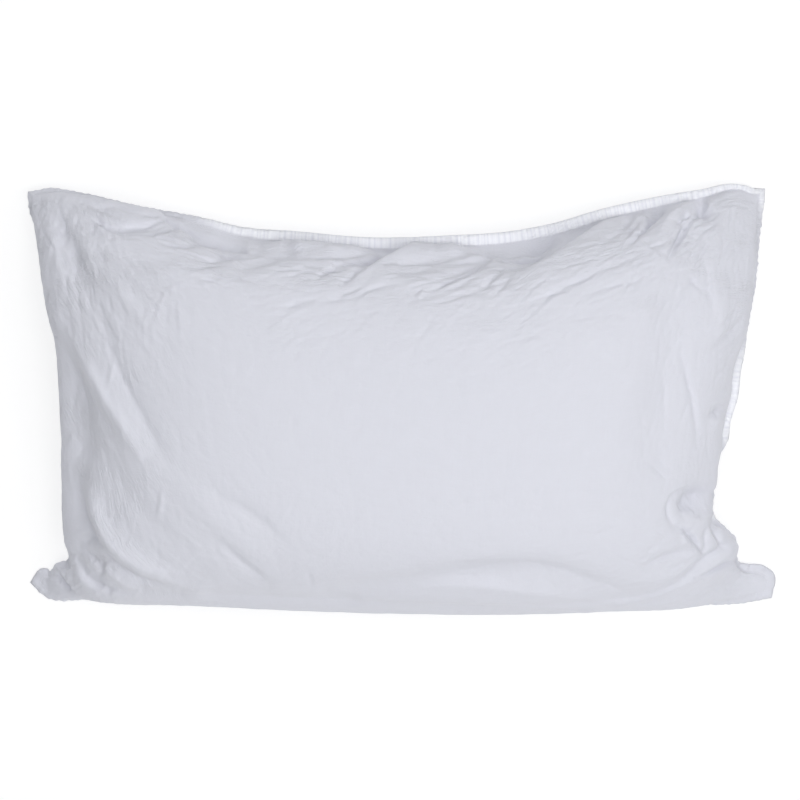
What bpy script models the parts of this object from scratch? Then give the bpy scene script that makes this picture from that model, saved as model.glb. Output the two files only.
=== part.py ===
"""A washed cotton pillowcase on its pillow, lying on its back: one filled solid with its sewn edge.

X runs along the long sides, Y from the full long side to the slack one, and Z up from the surface
that the case lies on. Run it with blender --background --python part.py, or from the text editor.
"""

from typing import NamedTuple

import bmesh
import bpy
import numpy as np

MM = 0.001

# Driving dimensions, in millimetres. The case is cut for a pillow of 750 x 500.
BAND_WIDTH = 8.0  # the topstitched edge that stands out past the seam
BAND_DROP, BAND_LEAN = 6.5, 3.0  # how far its rim sinks, and stands off, where it hangs down instead
SEAM_THICKNESS = 2.4  # both panels pressed together at the seam
RIM_THICKNESS = 1.6  # the same at the band's outer rim
CROWN_HEIGHT = 98.0  # how far the filling lifts the face
SHARPEST_CORNER = 1.6  # how far the band's rim is drawn out at a corner: 4 is not at all

# Shares of the crown, from 0 at the seam to 1 in the middle
FLOOR_SHARE = 0.8  # past this the back lies flat on the surface
ROLL_SHARE = 0.5  # below this the wall rolls out past the seam
FOLD_SHARE = 0.25  # below this the folds run out towards the seam
FOLD_END = 0.05  # the share of its line at which a fold has faded to its least

# The crown's form
LONG_POWER, SHORT_POWER = 4.2, 2.7  # how flat it is along and across the case
EDGE_POWER = 0.5  # how steeply it leaves the seam
SLUMP = 0.15  # how far the filling has sunk from the slack side, as a share of the half width
BACK_POWER = 1.9  # how softly the back comes down to the surface

# The mesh: cells along and across one panel, and how much smaller they are at its edges
CELLS_ALONG, CELLS_ACROSS = 62, 40
EDGE_DENSITY = 0.55
FORM_ALONG, FORM_ACROSS = 120, 76  # the even grid on which the seam's plane is worked out
SMOOTHING_PASSES = 260
STEPS_PER_POINT = 20  # how finely a curve is read between two of its points


class Station(NamedTuple):
    """A place on the seam line, in millimetres."""

    x: float
    y: float
    height: float  # over the surface
    roll: float  # how far the filled wall bulges out past the seam
    band: float  # 1 where the sewn edge stands straight out, 0 where it hangs down


class EmptyCorner(NamedTuple):
    """A corner that the filling doesn't reach, in millimetres."""

    x: float
    y: float
    reach: float
    loss: float  # the share of the crown that is missing at its tip


class Fold(NamedTuple):
    """A soft ridge, or a trough where its rise is negative, along a line on the face, in millimetres."""

    name: str
    rise: float
    width: float
    line: tuple


# Each side runs in the direction of +X or +Y, from corner to corner.
SLACK_SIDE = (
    # x, y, height, roll, band
    Station(-371, 205, 22, 3, 0.4),
    Station(-354, 208, 24, 6, 0.1),
    Station(-321, 202, 29, 7, 0.0),
    Station(-266, 190, 37, 8, 0.0),
    Station(-221, 181, 43, 7, 0.1),
    Station(-195, 175, 47, 3, 0.5),
    Station(-161, 166, 49, 0, 0.9),
    Station(-102, 160, 50, 0, 1.0),
    Station(-30, 155, 51, 0, 1.0),
    Station(47, 157, 51, 0, 1.0),
    Station(107, 161, 50, 0, 1.0),
    Station(151, 169, 48, 0, 1.0),
    Station(196, 182, 45, 0, 1.0),
    Station(256, 195, 39, 0, 1.0),
    Station(301, 202, 33, 0, 1.0),
    Station(331, 207, 29, 0, 1.0),
    Station(347, 205, 27, 0, 0.8),
    Station(354, 201, 26, 0, 0.7),
)
FULL_SIDE = (
    # x, y, height, roll, band
    Station(-375, -199, 12, 1, 0.5),
    Station(-366, -206, 13, 1, 0.3),
    Station(-349, -210, 16, 2, 0.1),
    Station(-304, -206, 24, 7, 0.0),
    Station(-226, -201, 34, 10, 0.0),
    Station(-119, -203, 41, 11, 0.0),
    Station(-2, -206, 44, 11, 0.0),
    Station(109, -207, 43, 11, 0.0),
    Station(201, -206, 38, 10, 0.0),
    Station(263, -209, 30, 9, 0.0),
    Station(309, -212, 22, 5, 0.1),
    Station(341, -210, 16, 2, 0.3),
    Station(372, -205, 13, 0, 0.7),
)
LEFT_SIDE = (
    # x, y, height, roll, band
    Station(-375, -199, 12, 1, 0.5),
    Station(-375, -193, 13, 1, 0.5),
    Station(-360, -182, 15, 2, 0.3),
    Station(-353, -176, 18, 3, 0.1),
    Station(-339, -169, 23, 4, 0.0),
    Station(-334, -155, 30, 8, 0.0),
    Station(-333, -110, 40, 10, 0.0),
    Station(-334, -43, 47, 10, 0.0),
    Station(-336, 22, 48, 10, 0.0),
    Station(-340, 78, 47, 9, 0.0),
    Station(-348, 114, 43, 8, 0.0),
    Station(-357, 153, 37, 7, 0.0),
    Station(-367, 183, 30, 6, 0.0),
    Station(-371, 198, 24, 4, 0.3),
    Station(-371, 205, 22, 3, 0.4),
)
RIGHT_SIDE = (
    # x, y, height, roll, band
    Station(372, -205, 13, 0, 0.7),
    Station(375, -194, 13, 0, 0.7),
    Station(370, -183, 15, 0, 0.6),
    Station(351, -179, 19, 0, 0.5),
    Station(340, -172, 24, 3, 0.2),
    Station(336, -158, 29, 8, 0.0),
    Station(337, -146, 33, 9, 0.0),
    Station(321, -130, 36, 8, 0.0),
    Station(310, -116, 39, 6, 0.0),
    Station(308, -92, 44, 8, 0.0),
    Station(308, -67, 47, 7, 0.0),
    Station(315, -49, 49, 4, 0.4),
    Station(320, -26, 51, 0, 1.0),
    Station(328, 6, 51, 0, 1.0),
    Station(329, 32, 50, 0, 0.9),
    Station(337, 64, 48, 3, 0.3),
    Station(346, 114, 45, 2, 0.3),
    Station(353, 179, 34, 1, 0.4),
    Station(355, 192, 29, 0, 0.6),
    Station(354, 201, 26, 0, 0.7),
)

EMPTY_CORNERS = (
    # x, y, reach, loss
    EmptyCorner(-375, -199, 46, 0.75),
    EmptyCorner(372, -205, 58, 0.8),
    EmptyCorner(-371, 205, 50, 0.4),
    EmptyCorner(354, 201, 50, 0.5),
)

FACE_FOLDS = (
    # name, rise, width, and the (x, y) points of its line
    Fold("ridge from the slack corner", 7.0, 19,
         ((-348, 194), (-330, 114), (-302, 51), (-265, -5), (-236, -48))),
    Fold("its run towards the full side", 5.0, 16, ((-236, -48), (-201, -82), (-162, -128), (-124, -174))),
    Fold("hollow by the left wall", -7.0, 17,
         ((-323, 75), (-320, 7), (-315, -43), (-324, -95), (-323, -137))),
    Fold("ridge over the left corner", 7.0, 13,
         ((-310, -62), (-299, -106), (-279, -136), (-249, -161), (-205, -185))),
    Fold("hollow inside it", -5.0, 12, ((-295, -30), (-270, -77), (-236, -115), (-197, -148))),
    Fold("pinch at the left corner", -6.0, 10, ((-332, -158), (-314, -171), (-299, -191))),
    Fold("long crease, lower left", -3.5, 12, ((-202, -108), (-173, -140), (-135, -177))),
    Fold("crease beside it", -2.5, 11, ((-191, -66), (-142, -106), (-113, -138))),
    Fold("valley over the full side", -4.5, 14,
         ((-71, -171), (-44, -166), (20, -154), (85, -143), (134, -144), (170, -162), (208, -192))),
    Fold("swell under the valley", 4.0, 15, ((-35, -185), (55, -172), (131, -183), (184, -201))),
    Fold("corner pleat, slack left", -4.0, 8, ((-354, 193), (-333, 169), (-317, 141), (-311, 115))),
    Fold("corner pleat, next", 3.0, 8, ((-337, 194), (-312, 162), (-298, 139), (-265, 102), (-240, 79))),
    Fold("slack swag, left", -5.0, 9, ((-300, 173), (-249, 178), (-220, 182), (-194, 164))),
    Fold("slack swag, deep", -6.5, 9, ((-220, 180), (-194, 164), (-153, 145), (-114, 149))),
    Fold("slack roll, left", 4.0, 10, ((-214, 182), (-189, 172), (-160, 162), (-128, 155))),
    Fold("slack roll, middle", 5.0, 11,
         ((-149, 153), (-115, 158), (-72, 155), (-12, 156), (37, 160), (86, 155), (140, 159))),
    Fold("slack crease, middle", -5.0, 8, ((-56, 123), (-36, 133), (-14, 146), (31, 154))),
    Fold("slack crease, right", -6.0, 9, ((5, 137), (65, 144), (125, 150), (171, 165), (198, 174))),
    Fold("shallow crease under it", -3.0, 7, ((36, 123), (94, 128), (153, 143))),
    Fold("tuck under the band", -5.0, 10, ((227, 189), (216, 174), (198, 158))),
    Fold("tuck beside it", -4.0, 9, ((257, 194), (244, 176), (232, 163))),
    Fold("tuck by the corner", -6.0, 10, ((310, 198), (299, 185), (284, 170), (266, 152))),
    Fold("pleat in the corner", 3.5, 8, ((333, 201), (319, 186), (303, 166))),
    Fold("hollow down the right", -5.0, 24, ((290, 142), (264, 69), (252, -7), (239, -62))),
    Fold("fold by the right wall", 3.5, 10, ((304, 138), (312, 93), (306, 57))),
    Fold("slant by the right wall", -3.5, 7, ((297, 50), (314, 68), (330, 82))),
    Fold("curl at the notch, upper", -8.0, 8, ((308, -107), (285, -95), (263, -95), (257, -106))),
    Fold("curl at the notch, lower", -5.0, 9, ((257, -106), (266, -123), (288, -145))),
    Fold("lump at the notch", 6.0, 13, ((294, -123), (312, -136))),
    Fold("crease from the right corner", -8.0, 8, ((337, -164), (309, -167), (279, -175), (231, -206))),
    Fold("crease over it", -4.0, 9, ((299, -140), (269, -151), (241, -160))),
)


def run_along(rows):
    """How far each row's place lies along the line through them, seen from above."""
    steps = np.linalg.norm(np.diff(rows[:, :2], axis=0), axis=1)
    return np.concatenate([[0.0], np.cumsum(steps)])


def curve_through(stations, places):
    """The seam at the given shares of its length, on a smooth curve through the stations."""
    rows = np.array(stations, float)
    knots = run_along(rows)
    slopes = np.gradient(rows, knots, axis=0)
    fine = np.linspace(0.0, knots[-1], STEPS_PER_POINT * len(rows))
    span = np.clip(np.searchsorted(knots, fine, side="right") - 1, 0, len(rows) - 2)
    length = (knots[span + 1] - knots[span])[:, None]
    t = (fine - knots[span])[:, None] / length
    curve = (
        (2 * t**3 - 3 * t**2 + 1) * rows[span]
        + (t**3 - 2 * t**2 + t) * length * slopes[span]
        + (3 * t**2 - 2 * t**3) * rows[span + 1]
        + (t**3 - t**2) * length * slopes[span + 1]
    )
    run = run_along(curve)
    return np.array([np.interp(places * run[-1], run, column) for column in curve.T]).T


def stretch_between(full, slack, left, right):
    """A grid of values, [along, across], that matches the four sides and runs smoothly between them."""
    u = np.linspace(0, 1, len(full))[:, None, None]
    v = np.linspace(0, 1, len(left))[None, :, None]
    grid = (1 - v) * full[:, None] + v * slack[:, None] + (1 - u) * left[None] + u * right[None]
    grid -= (1 - u) * ((1 - v) * full[0] + v * slack[0]) + u * ((1 - v) * full[-1] + v * slack[-1])
    for _ in range(SMOOTHING_PASSES):
        grid[1:-1, 1:-1] = (grid[2:, 1:-1] + grid[:-2, 1:-1] + grid[1:-1, 2:] + grid[1:-1, :-2]) / 4
    return grid


def loop_of(grid):
    """A grid's edge values in order, anticlockwise from its first corner."""
    return np.concatenate([grid[:-1, 0], grid[-1, :-1], grid[:0:-1, -1], grid[0, :0:-1]])


def sides_of(loop, along, across):
    """The full, slack, left and right sides of a grid whose edge values are the loop's."""
    closed = np.concatenate([loop, loop[:1]])
    corner = along + across
    return (
        closed[: along + 1],
        closed[corner : corner + along + 1][::-1],
        closed[corner + along :][::-1],
        closed[along : corner + 1],
    )


def outward_normals(loop):
    """The level normals of a closed line that runs anticlockwise, longer at its corners."""
    step = np.roll(loop[:, :2], -1, axis=0) - loop[:, :2]
    step /= np.linalg.norm(step, axis=1)[:, None]
    edge_normal = np.stack([step[:, 1], -step[:, 0]], axis=1)
    both = edge_normal + np.roll(edge_normal, 1, axis=0)
    return 2 * both / np.maximum((both**2).sum(1), SHARPEST_CORNER)[:, None]


def sampled(grid, u, v):
    """The grid's values at every pair of the shares u along it and v across it."""
    along, across = grid.shape[0] - 1, grid.shape[1] - 1
    i = np.minimum((u * along).astype(int), along - 1)
    j = np.minimum((v * across).astype(int), across - 1)
    a = (u * along - i)[:, None, None]
    b = (v * across - j)[None, :, None]
    low = (1 - a) * grid[i][:, j] + a * grid[i + 1][:, j]
    high = (1 - a) * grid[i][:, j + 1] + a * grid[i + 1][:, j + 1]
    return (1 - b) * low + b * high


def crowded(cells):
    """Shares from 0 to 1 that lie closer together towards both ends."""
    even = np.linspace(0, 1, cells + 1)
    return even - EDGE_DENSITY * np.sin(2 * np.pi * even) / (2 * np.pi)


def crown_share(u, v, seam):
    """How full the case is, from 0 at the seam to 1: flat in the middle, thin in the corners."""
    along = 1 - np.abs(2 * u - 1)[:, None] ** LONG_POWER
    half = 2 * v - 1
    half = half + SLUMP * (1 - half**2)
    across = 1 - np.abs(half)[None, :] ** SHORT_POWER
    full = (np.clip(along, 0, 1) * np.clip(across, 0, 1)) ** EDGE_POWER
    for corner in EMPTY_CORNERS:
        away = np.hypot(seam[..., 0] - corner.x, seam[..., 1] - corner.y)
        full = full * (1 - corner.loss * np.exp(-((away / corner.reach) ** 2)))
    return full


def fold_rise(fold, x, y):
    """How far the fold lifts the face at each place: a soft bell across its line, fading at both ends."""
    line = np.array(fold.line, float)
    fine = np.linspace(0, len(line) - 1, STEPS_PER_POINT * len(line))
    points = np.stack([np.interp(fine, range(len(line)), line[:, k]) for k in (0, 1)], axis=1)
    away = np.hypot(x[..., None] - points[:, 0], y[..., None] - points[:, 1])
    share = away.argmin(-1) / (len(points) - 1)
    fade = np.sqrt(np.sin(np.pi * np.clip(share, FOLD_END, 1 - FOLD_END)))
    return fold.rise * fade * np.exp(-((away.min(-1) / fold.width) ** 2))


def grid_normals(places):
    """Unit normals of a grid of places, upward on a face that runs along +X and +Y."""
    normal = np.cross(np.gradient(places, axis=0), np.gradient(places, axis=1))
    return normal / np.linalg.norm(normal, axis=2)[..., None]


def shaped_panels():
    """The face's and the back's grids of places, and the seam's stations in a loop, in millimetres."""
    u, v = np.linspace(0, 1, FORM_ALONG + 1), np.linspace(0, 1, FORM_ACROSS + 1)
    form = stretch_between(
        curve_through(FULL_SIDE, u),
        curve_through(SLACK_SIDE, u),
        curve_through(LEFT_SIDE, v),
        curve_through(RIGHT_SIDE, v),
    )
    rolling = outward_normals(loop_of(form)) * loop_of(form)[:, 3:4]
    rolling = stretch_between(*sides_of(rolling, FORM_ALONG, FORM_ACROSS))

    u, v = crowded(CELLS_ALONG), crowded(CELLS_ACROSS)
    seam = sampled(form, u, v)
    full = crown_share(u, v, seam)
    wall = np.clip(full / ROLL_SHARE, 0, 1)
    roll = sampled(rolling, u, v) * (4 * wall * (1 - wall))[..., None]

    face = seam[..., :3].copy()
    face[..., :2] += roll
    face[..., 2] += SEAM_THICKNESS / 2 + CROWN_HEIGHT * full
    rise = sum(fold_rise(fold, face[..., 0], face[..., 1]) for fold in FACE_FOLDS)
    face += grid_normals(face) * (rise * np.clip(full / FOLD_SHARE, 0, 1))[..., None]

    back = seam[..., :3].copy()
    back[..., 2] -= SEAM_THICKNESS / 2
    back[..., 2] *= (1 - np.clip(full / FLOOR_SHARE, 0, 1)) ** BACK_POWER
    return face, back, loop_of(seam)


def band_rims(seam_loop):
    """The upper and lower lines of the sewn edge's outer rim, in millimetres."""
    normals = outward_normals(seam_loop)
    hanging = (1 - seam_loop[:, 4]) * np.pi / 2
    rim = seam_loop[:, :3].copy()
    rim[:, :2] += normals * (BAND_WIDTH * np.cos(hanging) + BAND_LEAN * np.sin(hanging))[:, None]
    rim[:, 2] -= BAND_DROP * np.sin(hanging)
    half = np.concatenate([normals * np.sin(hanging)[:, None], np.cos(hanging)[:, None]], axis=1)
    half *= RIM_THICKNESS / 2
    return rim + half, rim - half


def panel(mesh, places, seam_place):
    """Adds a grid of cells, moves its vertices to their places, and numbers those at its edge.

    Returns the edges of its open border.
    """
    along, across = places.shape[0] - 1, places.shape[1] - 1
    made = bmesh.ops.create_grid(mesh, x_segments=along, y_segments=across, size=0.5)["verts"]
    cells = np.arange(places.shape[0] * places.shape[1]).reshape(places.shape[:2])
    number = {cell: k for k, cell in enumerate(loop_of(cells).tolist())}
    for vert in made:
        i = round((vert.co.x + 0.5) * along)
        j = round((vert.co.y + 0.5) * across)
        vert[seam_place] = number.get(cells[i, j], -1)
        vert.co = places[i, j] * MM
    return list({edge for vert in made for edge in vert.link_edges if edge.is_boundary})


def drawn_out(mesh, border, rim, seam_place):
    """Extrudes a panel's border to the rim of the sewn edge, and returns the rim's edges."""
    made = bmesh.ops.extrude_edge_only(mesh, edges=border)["geom"]
    for vert in made:
        if isinstance(vert, bmesh.types.BMVert):
            vert.co = rim[vert[seam_place]] * MM
    return [edge for edge in made if isinstance(edge, bmesh.types.BMEdge) and edge.is_boundary]


def cotton():
    """Washed white cotton, a little cool."""
    material = bpy.data.materials.new("washed_cotton")
    material.use_nodes = True
    shader = material.node_tree.nodes["Principled BSDF"]
    shader.inputs["Base Color"].default_value = (0.74, 0.74, 0.80, 1)
    shader.inputs["Roughness"].default_value = 0.9
    shader.inputs["Metallic"].default_value = 0.0
    return material


def filled_case():
    """The pillowcase with its pillow: face, back and sewn edge as one closed body."""
    face, back, seam_loop = shaped_panels()
    mesh = bmesh.new()
    seam_place = mesh.verts.layers.int.new("seam_place")
    rims = []
    for places, rim in zip((face, back), band_rims(seam_loop)):
        border = panel(mesh, places, seam_place)
        rims += drawn_out(mesh, border, rim, seam_place)
    bmesh.ops.bridge_loops(mesh, edges=rims)
    bmesh.ops.recalc_face_normals(mesh, faces=mesh.faces)
    data = bpy.data.meshes.new("filled_case")
    mesh.to_mesh(data)
    mesh.free()
    data.materials.append(cotton())
    data.shade_smooth()
    case = bpy.data.objects.new("filled_case", data)
    bpy.context.scene.collection.objects.link(case)
    return case


def main():
    for old in list(bpy.data.objects):
        bpy.data.objects.remove(old)
    filled_case()


main()
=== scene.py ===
"""A washed cotton pillowcase on its pillow, lying on its back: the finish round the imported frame.

X runs along the long sides, Y from the full long side to the slack one, and Z up from the surface
that the case lies on. Tables and fields are in millimetres unless they say otherwise, and become
metres where a mesh is made. A text of numbers holds one place for each word, its numbers parted by
commas.
"""

import logging
from dataclasses import dataclass
from enum import Enum
from typing import NamedTuple

import bmesh
import bpy
import numpy as np
from bpy.types import NodeSocket
from mathutils import Matrix, Vector
from numpy.typing import NDArray


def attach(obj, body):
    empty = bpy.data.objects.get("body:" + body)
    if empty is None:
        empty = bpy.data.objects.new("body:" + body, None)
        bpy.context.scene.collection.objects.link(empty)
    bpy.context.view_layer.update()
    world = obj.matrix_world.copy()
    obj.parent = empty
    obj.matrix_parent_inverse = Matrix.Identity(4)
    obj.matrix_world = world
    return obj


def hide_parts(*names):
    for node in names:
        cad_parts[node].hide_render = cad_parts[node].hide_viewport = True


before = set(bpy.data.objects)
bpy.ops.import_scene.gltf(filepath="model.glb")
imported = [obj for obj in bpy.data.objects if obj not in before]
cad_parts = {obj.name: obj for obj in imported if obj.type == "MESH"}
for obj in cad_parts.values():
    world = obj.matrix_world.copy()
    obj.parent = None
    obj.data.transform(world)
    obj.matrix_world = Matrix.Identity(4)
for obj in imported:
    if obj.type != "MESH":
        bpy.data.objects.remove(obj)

Grid = NDArray[np.float64]
Pair = tuple[float, float]
Triple = tuple[float, float, float]

MM = 0.001
STEPS_PER_POINT = 20  # how finely a curve is read between two of its points
ROLL, BAND = 3, 4  # where a row of the seam holds them
log = logging.getLogger("pillowcase")


class Fold(NamedTuple):
    """A soft ridge, or a trough where its rise is negative, along a line on the face."""

    rise: float
    width: float
    line: str  # the x,y of its points
    lean: float | None = None  # above 0 it is steeper on the left of its line, below 0 on the right


# The folds that the solid has too, where their lines lie on the face.
MAIN_FOLDS = (
    # rise, width, line
    # The long ridge down the left end, its run, and the hollow by the wall.
    Fold(7, 19, "-352,190 -346,140 -338,100 -318,55 -293,15 -268,-22 -243,-55"),
    Fold(1.2, 13, "-236,-48 -201,-82 -162,-128 -124,-174"),
    Fold(-7, 17, "-323,75 -320,7 -315,-43 -324,-95 -323,-137"),
    # The left corner: its ridge, the hollow inside it, its pinch and two creases.
    Fold(7, 13, "-310,-62 -299,-106 -279,-136 -249,-161 -205,-185"),
    Fold(-2, 12, "-295,-30 -270,-77 -236,-115 -197,-148"),
    Fold(-5, 9, "-332,-158 -314,-171 -299,-191"),
    Fold(-1.5, 12, "-202,-108 -173,-140 -135,-177"),
    Fold(-1, 11, "-191,-66 -142,-106 -113,-138"),
    # The valley and the swell over the full side.
    Fold(-6, 13, "-71,-180 -44,-176 20,-168 85,-160 134,-160 175,-170"),
    Fold(5.5, 12, "-35,-192 55,-186 131,-193 184,-202"),
    # Pleats in the slack corner on the left.
    Fold(-2.5, 8, "-354,193 -333,169 -317,141 -311,115"),
    Fold(2, 8, "-337,194 -312,162 -298,139 -265,102 -240,79"),
    # Swags, rolls and creases along the slack side.
    Fold(-1, 9, "-300,173 -249,178 -220,182 -194,164"),
    Fold(-8, 9, "-220,185 -194,169 -153,150 -114,153"),
    Fold(2, 10, "-214,182 -189,172 -160,162 -128,155"),
    Fold(5, 11, "-149,153 -115,158 -72,155 -12,156 37,160 86,155 140,159"),
    Fold(-3, 8, "-56,123 -36,133 -14,146 31,154"),
    Fold(-5.5, 9, "5,137 65,144 125,150 171,165 198,174"),
    Fold(-1.5, 7, "36,123 94,128 153,143"),
    # Tucks and a pleat by its right corner.
    Fold(-2, 10, "227,189 216,174 198,158"),
    Fold(-2, 9, "257,194 244,176 232,163"),
    Fold(-3, 10, "310,198 299,185 284,170 266,152"),
    Fold(3.5, 8, "333,201 319,186 303,166"),
    # The hollow down the right, and two folds by the wall.
    Fold(-8, 26, "288,142 268,100 257,40 251,-10 246,-72"),
    Fold(3.5, 10, "304,138 312,93 306,57"),
    Fold(-2, 7, "297,50 314,68 330,82"),
    # The curl and the lump at the notch, and the creases from the right corner.
    Fold(-1.5, 8, "308,-107 285,-95 263,-95 257,-106"),
    Fold(-1, 9, "257,-106 266,-123 288,-145"),
    Fold(4.5, 13, "294,-123 312,-136"),
    Fold(-3, 8, "337,-164 309,-167 279,-175 231,-206"),
    Fold(-2, 9, "299,-140 269,-151 241,-160"),
)

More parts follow.
